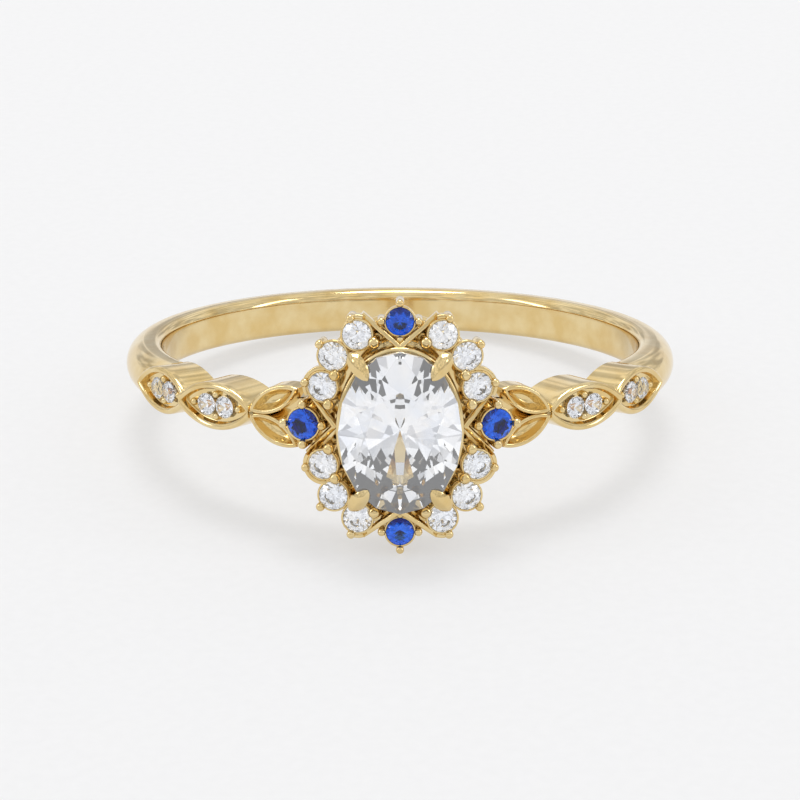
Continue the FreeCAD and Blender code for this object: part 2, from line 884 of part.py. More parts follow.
def shank_band():
    # The D-shaped section is drawn beside the finger axis and turned round it.
    body = doc.addObject("PartDesign::Body", "shank_band")
    sketch = sketch_on(body, "shank_section", "XY_Plane")
    up = Vector(0, 0, 1)
    corner_x = bore + comfort
    lower = Part.ArcOfCircle(
        Part.Circle(Vector(corner_x, -flat_half, 0), up, comfort), math.pi, 1.5 * math.pi
    )
    upper = Part.ArcOfCircle(
        Part.Circle(Vector(corner_x, flat_half, 0), up, comfort), 0.5 * math.pi, math.pi
    )
    outer = Part.Arc(
        Vector(corner_x, -size("shank_width") / 2, 0),
        Vector(bore + size("shank_thickness"), 0, 0),
        Vector(corner_x, size("shank_width") / 2, 0),
    )
    inside = Part.LineSegment(Vector(bore, flat_half, 0), Vector(bore, -flat_half, 0))
    for edge in (inside, lower, outer, upper):
        sketch.addGeometry(edge)
    tie = Sketcher.Constraint
    rules = [
        (tie("DistanceX", -1, 1, 0, 1, bore), "bore", cell("bore_radius")),
        (tie("Radius", 1, comfort), "lower_edge", cell("comfort_radius")),
        (tie("Radius", 3, comfort), "upper_edge", cell("comfort_radius")),
        (tie("DistanceY", 2, 1, 2, 2, size("shank_width")), "width", cell("shank_width")),
        (
            tie("Radius", 2, shank_bend),
            "crown",
            f"(({cell('shank_width')} / 2)^2 + ({cell('shank_thickness')}"
            f" - {cell('comfort_radius')})^2) / (2 * ({cell('shank_thickness')}"
            f" - {cell('comfort_radius')}))",
        ),
    ]
    sketch.addConstraint(
        [
            tie("Coincident", 0, 2, 1, 1),
            tie("Coincident", 1, 2, 2, 1),
            tie("Coincident", 2, 2, 3, 1),
            tie("Coincident", 3, 2, 0, 1),
            tie("Vertical", 0),
            tie("Symmetric", 2, 1, 2, 2, -1),
        ]
    )
    for constraint, label, rule in rules:
        sketch.addConstraint(constraint)
        sketch.renameConstraint(sketch.ConstraintCount - 1, label)
        bind(sketch, **{f"Constraints__{label}": rule})
    turned = body.newObject("PartDesign::Revolution", "shank_turned")
    turned.Profile = sketch
    turned.ReferenceAxis = (sketch, ["V_Axis"])
    turned.Midplane = True
    fork = f"{cell('bridge_reach')} + 1.5 * {cell('collet_pitch')} + {cell('horn_gap')}"
    bind(turned, Angle=f"360 - 2 * {swing_rule(fork)}")
    body.Placement = station(90)
    return body


shank_tools = []
for side in sides:
    core = lens_body(f"fork_{side}", "marquise_length", "marquise_width", None, "0", FAR)
    core.Placement = station(sides[side] * outer_swing)
    shank_tools.append(core)
shank = keep("shank", cut("shank_cut", shank_band(), shank_tools))

# ---- Check and write ----

doc.recompute()
for thing in doc.Objects:
    if {"Invalid", "Error"} & set(thing.State):
        raise RuntimeError(f"{thing.Name} did not compute: {thing.State}")
for piece in pieces:
    shape = piece.Shape
    if shape.isNull() or not shape.isValid() or shape.Volume <= 0:
        raise RuntimeError(f"{piece.Label} has no valid solid")

os.makedirs("parts", exist_ok=True)
for piece in pieces:
    piece.Shape.exportStep(f"parts/{piece.Label}.step")
    print(f"{piece.Label}: {len(piece.Shape.Solids)} solid, {piece.Shape.Volume:.4f} mm3")
print(f"{len(pieces)} pieces, rest angle {rest_angle:.3f} degrees")
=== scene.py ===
import json
import math

import bmesh
import bpy
from mathutils import Matrix, Vector


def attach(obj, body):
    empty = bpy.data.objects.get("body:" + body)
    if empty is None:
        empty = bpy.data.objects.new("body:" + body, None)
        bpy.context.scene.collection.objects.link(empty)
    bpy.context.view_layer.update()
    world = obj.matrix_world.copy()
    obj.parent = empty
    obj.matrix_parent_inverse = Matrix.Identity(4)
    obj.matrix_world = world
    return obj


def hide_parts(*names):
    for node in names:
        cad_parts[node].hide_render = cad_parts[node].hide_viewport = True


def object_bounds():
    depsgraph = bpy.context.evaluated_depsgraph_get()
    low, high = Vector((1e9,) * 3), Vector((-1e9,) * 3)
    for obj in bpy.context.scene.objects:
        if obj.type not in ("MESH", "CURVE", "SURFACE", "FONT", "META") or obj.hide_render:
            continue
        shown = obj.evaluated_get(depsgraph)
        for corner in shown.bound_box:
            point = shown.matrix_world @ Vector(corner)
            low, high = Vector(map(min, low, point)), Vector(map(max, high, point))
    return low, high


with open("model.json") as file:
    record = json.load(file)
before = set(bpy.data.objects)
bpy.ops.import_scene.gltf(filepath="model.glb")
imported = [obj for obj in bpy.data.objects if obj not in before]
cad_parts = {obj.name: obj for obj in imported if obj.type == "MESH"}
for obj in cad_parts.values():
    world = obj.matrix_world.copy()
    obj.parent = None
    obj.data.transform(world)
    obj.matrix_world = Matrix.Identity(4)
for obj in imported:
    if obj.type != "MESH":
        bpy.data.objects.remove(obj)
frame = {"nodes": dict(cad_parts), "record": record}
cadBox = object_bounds()
print("frame loaded:", len(frame["nodes"]), "nodes")

# Every piece is drawn in millimetres at twelve o'clock on the ring: X runs round the
# finger, Y along it and Z outward. layDown turns that into the ring lying on the table.
finger = frame["record"]["mounts"][0]
boreRadius = finger["dims"]["r_mm"]
restTilt = math.atan2(finger["axis"][1], finger["axis"][2])
layDown = Matrix.Scale(0.001, 4) @ Matrix.Rotation(math.pi / 2 - restTilt, 4, "X")
sides = {"right": 1, "left": -1}
ends = {"upper": 1, "lower": -1}
hairline = 0.004                 # mm, the small gap left where pieces must not quite meet


def station(swing=0.0, along=0.0, lift=0.0, turn=0.0):
    swung = Matrix.Rotation(math.radians(swing), 4, "Y")
    turned = Matrix.Rotation(math.radians(turn), 4, "Z")
    return swung @ Matrix.Translation((0, along, lift)) @ turned


def smoothStep(low, high, value):
    share = min(1.0, max(0.0, (value - low) / (high - low)))
    return share * share * (3 - 2 * share)


# Mesh work: a casting is a list of points and faces that grows skin by skin.


def newCasting():
    return {"points": [], "faces": []}


def addSkin(casting, rows, ringRows=False):
    # joins loops of points into a closed skin: ringRows joins the last loop to the first,
    # and without it both ends are capped
    points, faces = casting["points"], casting["faces"]
    first, across = len(points), len(rows[0])
    for row in rows:
        points.extend(row)
    for rowNumber in range(len(rows) if ringRows else len(rows) - 1):
        here = first + rowNumber * across
        after = first + (rowNumber + 1) % len(rows) * across
        for k in range(across):
            nextK = (k + 1) % across
            faces.append((here + k, here + nextK, after + nextK, after + k))
    if not ringRows:
        for row, start in ((rows[0], first), (rows[-1], first + (len(rows) - 1) * across)):
            middle = len(points)
            points.append(sum(row, Vector()) / across)
            for k in range(across):
                faces.append((start + k, start + (k + 1) % across, middle))


def turnedRows(place, profile, segments=40):
    # a profile of (radius, height) turned round the Z axis of a place
    rows = []
    for radius, height in profile:
        row = []
        for k in range(segments):
            bearing = 2 * math.pi * k / segments
            spot = Vector((radius * math.cos(bearing), radius * math.sin(bearing), height))
            row.append(place @ spot)
        rows.append(row)
    return rows


def arcProfile(centre, radius, start, finish, steps):
    # part of a circle as (radius, height) points, angles in degrees from outward to up
    profile = []
    for k in range(steps + 1):
        bearing = math.radians(start + (finish - start) * k / steps)
        spot = (centre[0] + radius * math.cos(bearing), centre[1] + radius * math.sin(bearing))
        profile.append(spot)
    return profile


def roundedSection(halfWide, upper, lower, soft):
    # a rectangle with rounded corners as (outward, up) points
    middleUp, halfTall = (upper - lower) / 2, (upper + lower) / 2
    section = []
    for signX, signZ, start in ((1, 1, 0), (-1, 1, 90), (-1, -1, 180), (1, -1, 270)):
        corner = (signX * (halfWide - soft), middleUp + signZ * (halfTall - soft))
        section += arcProfile(corner, soft, start, start + 90, 4)
    return section


def bakedMesh(piece):
    graph = bpy.context.evaluated_depsgraph_get()
    return bpy.data.meshes.new_from_object(piece.evaluated_get(graph))


def plainObject(name, casting):
    mesh = bpy.data.meshes.new(name)
    mesh.from_pydata([layDown @ point for point in casting["points"]], [], casting["faces"])
    form = bmesh.new()
    form.from_mesh(mesh)
    bmesh.ops.remove_doubles(form, verts=form.verts, dist=1e-6)
    bmesh.ops.dissolve_degenerate(form, edges=form.edges, dist=5e-7)
    bmesh.ops.recalc_face_normals(form, faces=form.faces)
    form.to_mesh(mesh)
    form.free()
    piece = bpy.data.objects.new(name, mesh)
    bpy.context.scene.collection.objects.link(piece)
    return piece


def setPiece(name, casting, replaced, drill=None, beads=None, crease=38):
    # a finished gold piece that stands for CAD nodes; drill is a casting that is cut away
    # and beads one that is added after it
    piece = plainObject(name, casting)
    if drill:
        bit = plainObject(f"{name}_bit", drill)
        cutting = piece.modifiers.new("drilled", "BOOLEAN")
        cutting.object, cutting.operation, cutting.solver = bit, "DIFFERENCE", "EXACT"
        cutting.use_self = True
        piece.data = bakedMesh(piece)
        piece.modifiers.clear()
        bpy.data.objects.remove(bit)
    if beads:
        grains = plainObject(f"{name}_grains", beads)
        form = bmesh.new()
        form.from_mesh(piece.data)
        form.from_mesh(grains.data)
        form.to_mesh(piece.data)
        form.free()
        bpy.data.objects.remove(grains)
    piece.data.shade_smooth()
    piece.data.set_sharp_from_angle(angle=math.radians(crease))
    piece.data.materials.clear()
    piece.data.materials.append(polishedGold)
    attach(piece, "root")
    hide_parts(*replaced)


# Materials


def srgb(code):
    # an sRGB hex value as the linear colour that the shaders use
    channels = [int(code[k:k + 2], 16) / 255 for k in (1, 3, 5)]
    linear = [c / 12.92 if c <= 0.04045 else ((c + 0.055) / 1.055) ** 2.4 for c in channels]
    return (*linear, 1.0)


def addNode(tree, kind, settings=None, links=None):
    # settings name the node's own properties or its input sockets, links name inputs
    node = tree.nodes.new(kind)
    for name, value in (settings or {}).items():
        if isinstance(name, str) and hasattr(node, name):
            setattr(node, name, value)
        else:
            node.inputs[name].default_value = value
    for name, socket in (links or {}).items():
        tree.links.new(node.inputs[name], socket)
    return node


def setRamp(node, stops):
    ramp = node.color_ramp
    while len(ramp.elements) < len(stops):
        ramp.elements.new(0.5)
    for element, (position, code) in zip(ramp.elements, stops):
        element.position = position
        element.color = srgb(code)
    return node


def newMaterial(name):
    material = bpy.data.materials.new(name)
    material.use_nodes = True
    tree = material.node_tree
    tree.nodes.clear()
    return material, tree


gold = {
    "paleTone": "#EBD5A2",
    "deepTone": "#E2C588",
    "toneScale": 0.9,        # mm across a patch of tone
    "roughness": (0.07, 0.13),
    "buffScale": 0.4,        # mm across a buffing mark
    "buffDepth": 0.0004,     # mm
    "buffStrength": 0.25,
}


def makePolishedGold():
    # 18 carat yellow gold, cast and buffed: pale warm metal, mirror-like with a faint
    # unevenness that breaks up the edges of reflections
    material, tree = newMaterial("castGold18Buffed")
    where = addNode(tree, "ShaderNodeTexCoord")
    tone = addNode(
        tree, "ShaderNodeTexNoise", {"Scale": 1000 / gold["toneScale"], "Detail": 3.0},
        {"Vector": where.outputs["Object"]},
    )
    colour = setRamp(
        addNode(tree, "ShaderNodeValToRGB", links={"Fac": tone.outputs["Fac"]}),
        [(0.35, gold["deepTone"]), (0.65, gold["paleTone"])],
    )
    buff = addNode(
        tree, "ShaderNodeTexNoise",
        {"Scale": 1000 / gold["buffScale"], "Detail": 2.0, "Roughness": 0.6},
        {"Vector": where.outputs["Object"]},
    )
    rough = addNode(
        tree, "ShaderNodeMapRange",
        {"To Min": gold["roughness"][0], "To Max": gold["roughness"][1]},
        {"Value": buff.outputs["Fac"]},
    )
    bump = addNode(
        tree, "ShaderNodeBump",
        {"Strength": gold["buffStrength"], "Distance": gold["buffDepth"] / 1000},
        {"Height": buff.outputs["Fac"]},
    )
    metal = addNode(
        tree, "ShaderNodeBsdfPrincipled", {"Metallic": 1.0},
        {
            "Base Color": colour.outputs["Color"],
            "Roughness": rough.outputs["Result"],
            "Normal": bump.outputs["Normal"],
        },
    )
    addNode(tree, "ShaderNodeOutputMaterial", links={"Surface": metal.outputs["BSDF"]})
    return material


def makeStone(name, look):
    # a clear cut stone; the tint drifts a little through the stone, and the facets can carry a faint
    # painted glow in the stone's clear tone
    material, tree = newMaterial(name)
    where = addNode(tree, "ShaderNodeTexCoord")
    drift = addNode(
        tree, "ShaderNodeTexNoise", {"Scale": 1000 / look["driftScale"], "Detail": 1.0},
        {"Vector": where.outputs["Object"]},
    )
    tint = setRamp(
        addNode(tree, "ShaderNodeValToRGB", links={"Fac": drift.outputs["Fac"]}),
        [(0.4, look["clearTone"]), (0.6, look["deepTone"])],
    )
    cutStone = addNode(
        tree, "ShaderNodeBsdfPrincipled",
        {
            "Transmission Weight": 1.0,
            "Roughness": 0.0,
            "IOR": look["ior"],
            # painted glow: the stone gives off a faint light of its own in its clear tone
            "Emission Color": srgb(look["clearTone"]),
            "Emission Strength": look["sparkle"],
        },
        {"Base Color": tint.outputs["Color"]},
    )
    addNode(tree, "ShaderNodeOutputMaterial", links={"Surface": cutStone.outputs["BSDF"]})
    return material


# Diamond: colourless, flat polished facets, so it shows crisp white and grey patches. The
# index is below that of real diamond (2.417) and each facet glows faintly, because light
# that is still inside after many reflections would otherwise show as flat grey.
diamond = {
    "clearTone": "#FFFFFF",
    "deepTone": "#F4F8FF",
    "driftScale": 0.8,       # mm across a patch of tint
    "ior": 2.12,
    "sparkle": 0.022,
}
# Sapphire: royal blue and polished, deep in the middle and bright at the edges. The index
# is below that of real corundum (1.77), so that the pale room doesn't wash out the blue.
sapphire = {
    "clearTone": "#2470F6",
    "deepTone": "#1252D6",
    "driftScale": 0.5,       # mm across a patch of tint
    "ior": 1.55,
    "sparkle": 0.0,
}

polishedGold = makePolishedGold()
cutDiamond = makeStone("brilliantCutDiamond", diamond)
cutSapphire = makeStone("brilliantCutSapphire", sapphire)
print("materials made")

# The stones are flat facets in CAD already, so those nodes stay and take the stone looks.
for nodeName, node in frame["nodes"].items():
    stoneLook = None
    if "diamond" in nodeName:
        stoneLook = cutDiamond
    elif nodeName in [f"sapphire_{place}" for place in (*ends, *sides)]:
        stoneLook = cutSapphire
    for materialSlot in node.material_slots:
        materialSlot.material = stoneLook or polishedGold

# Lens outlines: two arcs that meet in points on the X axis. The inset keeps the centres.


def lensBend(length, width):
    bend = (length**2 + width**2) / (4 * width)
    return bend, bend - width / 2


def lensLoop(length, width, inset, steps=36):
    bend, past = lensBend(length, width)
    radius = bend - inset
    reach = math.acos(past / radius)
    loop = []
    for side in (1, -1):
        for k in range(steps):
            turn = side * reach * (2 * k / steps - 1)
            loop.append((radius * math.sin(turn), side * (radius * math.cos(turn) - past)))
    return loop


def lensDepth(length, width, x, y):
    # how far a spot is inside the outline
    bend, past = lensBend(length, width)
    return bend - math.hypot(x, abs(y) + past)


# Shank

shank = {
    "thickness": 1.30,
    "width": 1.60,
    "comfort": 0.34,
    "hornStart": 58.41,      # degrees from the middle of the head
    "troughHeight": 0.99,    # how high the metal between the horns stands over the bore
    "hollowReach": 30,       # degrees from an outer collet within which the shank is hollowed
    "fineUntil": 72,         # degrees from the middle of the head
    "fineStep": 0.3,         # degrees from one loop of points to the next
    "broadStep": 1.5,
}
collet = {
    "length": 3.50,
    "width": 1.60,
    "innerSwing": 38.6,
    "outerSwing": 56.4,
    "halfPitch": 8.9,
    "innerTop": 1.51,
    "outerTop": 1.34,
    "rim": 0.23,
    "crown": 0.115,
    "recess": 0.27,
    "stoneWidth": 0.755,
    "stoneSpacing": 0.80,
    "girdleDrop": 0.14,
    "bead": 0.13,
    "beadRise": 0.07,
    "beadDepth": 0.10,
    "beadStep": 0.985,
    "fillet": 0.045,
    "azure": 0.20,           # radius of the drilled hole under a stone
    "seatClear": 0.012,
}


def shankSection():
    # (along, height over the bore) of the D section, starting on the flat inside
    halfWidth, comfort = shank["width"] / 2, shank["comfort"]
    rise = shank["thickness"] - comfort
    bend = (halfWidth**2 + rise**2) / (2 * rise)
    flat = halfWidth - comfort
    section = [(-flat + 2 * flat * k / 12, 0.0) for k in range(13)]
    corner = arcProfile((flat, comfort), comfort, -90, 0, 8)[1:]
    section += corner
    reach = math.asin(halfWidth / bend)
    for k in range(1, 56):
        turn = reach * (1 - 2 * k / 56)
        section.append((bend * math.sin(turn), shank["thickness"] - bend * (1 - math.cos(turn))))
    section += [(-along, height) for along, height in reversed(corner)]
    return section


def shankSpot(swing, along, height):
    # a spot on the shank, which is hollowed between its horns
    radius = boreRadius + height
    fromCollet = abs(swing) - collet["outerSwing"]
    if fromCollet < shank["hollowReach"]:
        onward = radius * math.sin(math.radians(fromCollet))
        inside = lensDepth(collet["length"], collet["width"], onward, along)
        trough = boreRadius + shank["troughHeight"]
        radius -= smoothStep(0.02, 0.12, inside) * max(0.0, radius - trough)
    bearing = math.radians(swing)
    return Vector((radius * math.sin(bearing), along, radius * math.cos(bearing)))


def makeShank():
    section = shankSection()
    swings, swing = [], shank["hornStart"]
    while swing < 180:
        swings.append(swing)
        swing += shank["fineStep" if swing < shank["fineUntil"] else "broadStep"]
    swings += [360 - turned for turned in reversed(swings)]
    rows = []
    for turned in swings:
        signed = turned if turned <= 180 else turned - 360
        rows.append([shankSpot(signed, along, height) for along, height in section])
    band = newCasting()
    addSkin(band, rows)
    setPiece("shank_band", band, ["shank"], crease=50)


makeShank()
print("shank made")

# Marquise collets


def bottomHeight(x):
    return math.sqrt(boreRadius**2 - x**2) + hairline


def lensRows(shape, top, foot):
    # loops of (x, y, z) from the middle of the underside, up the wall and over the rim,
    # and the outline inside the rim; shape has length, width, rim and crown
    length, width, rim, crown = (shape[k] for k in ("length", "width", "rim", "crown"))
    outline = lensLoop(length, width, 0.0)
    rows = [[(x * s, y * s, foot(x * s)) for x, y in outline] for s in (0.05, 0.4, 0.75, 1.0)]
    for share in (0.3, 0.6, 0.85, 1.0):
        rows.append([(x, y, foot(x) + (top - crown - foot(x)) * share) for x, y in outline])
    for k in range(1, 10):
        turn = math.pi * k / 10
        loop = lensLoop(length, width, rim / 2 * (1 - math.cos(turn)))
        height = top - crown + crown * math.sin(turn)
        rows.append([(x, y, height) for x, y in loop])
    inner = lensLoop(length, width, rim)
    return rows, inner


def clampedRows(place, rows, headSide, backSide):
    # trims the ends on the radial planes that a piece shares with its neighbours
    trimmed = []
    for row in rows:
        spots = []
        for x, y, z in row:
            if headSide is not None:
                x = max(x, -z * math.tan(math.radians(headSide)))
            if backSide is not None:
                x = min(x, z * math.tan(math.radians(backSide)))
            spots.append(place @ Vector((x, y, z)))
        trimmed.append(spots)
    return trimmed


def dome(place, radius, low, rise, squash=1.0):
    # a bead: a short post with a round top
    profile = [(radius * 0.96, low), (radius, low + radius * 0.1), (radius, rise)]
    for k in range(1, 9):
        turn = math.pi / 2 * k / 9
        profile.append((radius * math.cos(turn), rise + squash * radius * math.sin(turn)))
    return turnedRows(place, profile, 24)


def makeCollet(name, side, swing, height, meetsAnother):
    top = boreRadius + height
    place = station(sides[side] * swing, turn=0 if side == "right" else 180)
    rows, inner = lensRows(collet, top, bottomHeight)
    floor = top - collet["recess"]
    fillet = collet["fillet"]
    for k in range(1, 5):
        turn = math.pi / 2 * k / 4
        sink = collet["rim"] + fillet * (1 - math.cos(turn))
        loop = lensLoop(collet["length"], collet["width"], sink)
        rows.append([(x, y, floor + fillet * (1 - math.sin(turn))) for x, y in loop])
    rows += [[(x * s, y * s, floor) for x, y in inner] for s in (0.75, 0.5, 0.25, 0.05)]
    halfPitch = collet["halfPitch"]
    body = newCasting()
    addSkin(body, clampedRows(place, rows, halfPitch, halfPitch if meetsAnother else None))
    beads = newCasting()
    for sign in (1, -1):
        for x, y in ((sign * collet["beadStep"], 0), (0, sign * collet["stoneWidth"] / 2)):
            spot = place @ Matrix.Translation((x, y, floor))
            addSkin(beads, dome(spot, collet["bead"], -collet["beadDepth"], collet["beadRise"]))
    # each stone sits in a cone that opens into a drilled hole below
    drill = newCasting()
    seat = collet["stoneWidth"] / 2 + collet["seatClear"]
    for sign in (1, -1):
        spot = place @ Matrix.Translation((sign * collet["stoneSpacing"] / 2, 0, 0))
        girdle, azure = top - collet["girdleDrop"], collet["azure"]
        profile = [
            (azure, boreRadius - 0.6),
            (azure, girdle - 0.04 - (seat - azure) * 0.9),
            (seat, girdle - 0.035),
            (seat, top + 0.5),
        ]
        addSkin(drill, turnedRows(spot, profile, 36))
    label = f"{name}_marquise_{side}"
    setPiece(f"{name}_collet_{side}", body, [label], drill, beads)


for side in sides:
    makeCollet("inner", side, collet["innerSwing"], collet["innerTop"], True)
    makeCollet("outer", side, collet["outerSwing"], collet["outerTop"], False)
print("marquise collets made")

# Leaves

leaf = {
    "length": 2.05,
    "width": 0.84,
    "rim": 0.16,
    "crown": 0.085,
    "recess": 0.34,
    "swing": 24.7,
    "along": 0.515,
    "turn": 27.0,
    "top": 1.54,
    "foot": 0.80,
    "edgeSwing": 29.7,
    "neckBall": 0.12,
    "neckInset": 0.4,        # degrees from the leaf's edge back to the middle of the neck ball
    "neckDepth": 0.30,
    "neckSink": 0.06,
    "tipBall": 0.055,
    "tipInset": 0.13,
    "tipDepth": 0.15,
    "tipSink": 0.04,
}


def makeLeaf(side, end):
    top = boreRadius + leaf["top"]
    turn = -sides[side] * ends[end] * leaf["turn"]
    place = station(sides[side] * leaf["swing"], ends[end] * leaf["along"], turn=turn)
    foot = boreRadius + leaf["foot"]
    rows, inner = lensRows(leaf, top, lambda x: math.sqrt(foot**2 - x**2))
    # a dished floor, deepest along the middle
    low = leaf["crown"]
    for k in range(1, 9):
        share = 1 - k / 8.4
        depth = low + (leaf["recess"] - low) * (1 - share**3)
        rows.append([(x * share, y * share, top - depth) for x, y in inner])
    body = newCasting()
    skin = []
    edge = math.tan(math.radians(leaf["edgeSwing"]))
    for row in rows:
        spots = []
        for x, y, z in row:
            spot = place @ Vector((x, y, z))
            spot.y = ends[end] * max(hairline, ends[end] * spot.y)
            spot.x = sides[side] * min(sides[side] * spot.x, spot.z * edge)
            spots.append(spot)
        skin.append(spots)
    addSkin(body, skin)
    # the neck ball between the leaves and the collet, and a grain on each tip
    neck = station(sides[side] * (leaf["edgeSwing"] - leaf["neckInset"]), 0, top)
    addSkin(body, dome(neck, leaf["neckBall"], -leaf["neckDepth"], -leaf["neckSink"]))
    for sign in (1, -1):
        reach = leaf["length"] / 2 - leaf["tipInset"]
        tip = place @ Matrix.Translation((sign * reach, 0, top))
        addSkin(body, dome(tip, leaf["tipBall"], -leaf["tipDepth"], -leaf["tipSink"]))
    setPiece(f"hollow_leaf_{end}_{side}", body, [f"leaf_{end}_{side}"])


for end in ends:
    for side in sides:
        makeLeaf(side, end)
print("leaves made")

# Bridge, seat rim, base rail and the gallery dish under the halo

centre = {
    "halfWidth": 1.984,
    "halfLength": 2.646,
    "girdle": 3.09,
}
bridge = {
    "length": 11.7,
    "width": 1.50,
    "holeLength": 2.60,
    "holeWidth": 0.80,
    "top": 0.84,
    "edgeDrop": 0.04,
}
seatRim = {"halfLength": 2.62, "halfWidth": 1.958, "wall": 0.19, "top": 2.74, "bottom": 2.09}
baseRail = {"halfLength": 1.84, "halfWidth": 1.44, "wall": 0.22, "top": 1.29, "bottom": 0.62}
gallery = {"halfLength": 2.936, "halfWidth": 2.44, "wall": 1.22, "top": 1.51, "bottom": 1.12}


def makeBridge():
    outer = lensLoop(bridge["length"], bridge["width"], 0.0, 60)
    inner = lensLoop(bridge["holeLength"], bridge["holeWidth"], 0.0, 60)
    rows = []
    shares = [0.0, 0.06, 0.25, 0.5, 0.75, 0.94, 1.0]
    for high in (False, True):
        lift = boreRadius + (bridge["top"] if high else 0.0)
        reach = lift * math.sin(math.radians(leaf["edgeSwing"]))
        for share in shares if high else reversed(shares):
            drop = bridge["edgeDrop"] if share in (0.0, 1.0) else 0.0
            row = []
            for (outX, outY), (inX, inY) in zip(outer, inner):
                outX = min(reach, max(-reach, outX))
                x, y = outX + (inX - outX) * share, outY + (inY - outY) * share
                surface = lift - drop if high else lift + drop
                row.append(Vector((x, y, math.sqrt(surface**2 - x**2))))
            rows.append(row)
    body = newCasting()
    addSkin(body, rows, ringRows=True)
    setPiece("bridge_bar", body, ["bridge"])


def makeOvalBand(name, band, replaced, rolled):
    # an upright oval band with rounded edges; rolled follows the finger's curve
    wall = band["wall"]
    tall = band["top"] - band["bottom"]
    section = roundedSection(wall / 2, tall / 2, tall / 2, min(wall, tall) * 0.42)
    rows = []
    lift = boreRadius + (band["top"] + band["bottom"]) / 2
    for k in range(128):
        bearing = 2 * math.pi * k / 128
        row = []
        for out, up in section:
            x = (band["halfWidth"] + out) * math.cos(bearing)
            y = (band["halfLength"] + out) * math.sin(bearing)
            height = lift + up
            row.append(Vector((x, y, math.sqrt(height**2 - x**2) if rolled else height)))
        rows.append(row)
    body = newCasting()
    addSkin(body, rows, ringRows=True)
    setPiece(name, body, replaced)


makeBridge()
makeOvalBand("seat_rim_band", seatRim, ["seat_rim"], False)
makeOvalBand("base_rail_band", baseRail, ["base_rail"], False)
makeOvalBand("halo_rail_band", gallery, ["halo_rail"], True)
print("bridge and rails made")

# Claws

claw = {
    "station": 51.75,        # degrees round the girdle, as an ellipse's own parameter
    "bearing": 52.8,         # degrees that the head is turned out of the ring's plane
    "reachOut": 0.62,
    "reachIn": 0.36,
    "halfWidth": 0.335,
    "ridge": 0.20,
    "belly": 0.09,
    "fullness": 1.62,        # scales the almond outline that the two powers give
    "outerBlunt": 0.42,      # powers that shape the two ends: a lower one is blunter
    "innerBlunt": 0.62,
    "ridgeSoft": 1.5,
    "startRise": -0.20,      # height of the outer end, which is below the girdle
    "climb": 0.80,
    "sag": 0.27,
    "postRadius": 0.185,
    "postShare": 0.38,       # where along the head the post meets it
    "foot": 1.23,
}


def makeClaw(side, end):
    turn, bearing = math.radians(claw["station"]), math.radians(claw["bearing"])
    inward = Vector((-sides[side] * math.cos(bearing), -ends[end] * math.sin(bearing), 0))
    across = Vector((0, 0, 1)).cross(inward)
    girdleSpot = Vector((
        sides[side] * centre["halfWidth"] * math.cos(turn),
        ends[end] * centre["halfLength"] * math.sin(turn),
        boreRadius + centre["girdle"],
    ))

    def ridgeLine(share):
        reach = -claw["reachOut"] + (claw["reachOut"] + claw["reachIn"]) * share
        rise = claw["startRise"] + claw["climb"] * share - claw["sag"] * share**2
        return girdleSpot + inward * reach + Vector((0, 0, rise))

    body = newCasting()
    rows = []
    for k in range(31):
        share = 0.5 - 0.496 * math.cos(math.pi * k / 30)
        spot = ridgeLine(share)
        ahead = (ridgeLine(share + 0.01) - ridgeLine(share - 0.01)).normalized()
        up = ahead.cross(across).normalized()
        if up.z < 0:
            up.negate()
        fullness = claw["fullness"] * share ** claw["outerBlunt"] * (1 - share) ** claw["innerBlunt"]
        wide, high, low = (claw[part] * fullness for part in ("halfWidth", "ridge", "belly"))
        row = []
        for j in range(24):
            sway = math.cos(2 * math.pi * j / 24)
            if j <= 12:
                lift = high * (1 - abs(sway) ** claw["ridgeSoft"])
            else:
                lift = -low * math.sqrt(max(0.0, 1 - sway**2))
            row.append(spot + across * (wide * sway) + up * lift)
        rows.append(row)
    addSkin(body, rows)
    foot = Vector((
        sides[side] * baseRail["halfWidth"] * math.cos(turn),
        ends[end] * baseRail["halfLength"] * math.sin(turn),
        boreRadius + claw["foot"],
    ))
    climb = ridgeLine(claw["postShare"]) - foot
    post = Matrix.Translation(foot) @ climb.to_track_quat("Z", "Y").to_matrix().to_4x4()
    tall, radius = climb.length, claw["postRadius"]
    profile = [(1.0, 0.0), (1.02, 0.3), (1.0, 0.7), (0.85, 1.0)]
    profile = [(radius * wide, tall * high) for wide, high in profile]
    addSkin(body, turnedRows(post, profile, 28))
    setPiece(f"leaf_claw_{end}_{side}", body, [f"claw_{end}_{side}"], crease=32)


for end in ends:
    for side in sides:
        makeClaw(side, end)
print("claws made")

# Halo settings

halo = {
    "stoneWidth": 0.94,
    "girdle": 2.34,
    "wall": 0.07,
    "gap": 0.13,                     # mm between neighbouring stones
    "cupDepth": 0.90,
    "cupFoot": 0.34,
    "hole": 0.24,
    "leanNear": 19.0,
    "leanFar": 47.5,
    "sideClear": 0.533,
    "endClear": 1.353,
    "outerProng": (0.145, 0.10),     # radius, distance from the stone's edge
    "innerProng": (0.20, 0.13),
    "prongDepth": 0.55,
    "prongRise": 0.075,
    "prongSquash": 0.92,
}
# stone, bearing in degrees from round the finger towards along it, kind of prong
haloProngs = [
    ("far", 68.9, "outerProng"),
    ("middle", 42.5, "outerProng"),
    ("near", 11.3, "outerProng"),
    ("far", 202.5, "innerProng"),
    ("near", 136.7, "innerProng"),
    ("near", 248.8, "innerProng"),
]
# wires that curl round the outside of two cups, from the chevron to the prong
crescent = {
    "radius": 0.60,
    "halfWidth": 0.068,
    "upper": 0.03,
    "lower": 0.30,
    "round": 0.04,
    "arcs": [("near", -30, 98), ("far", 108, 60)],
}


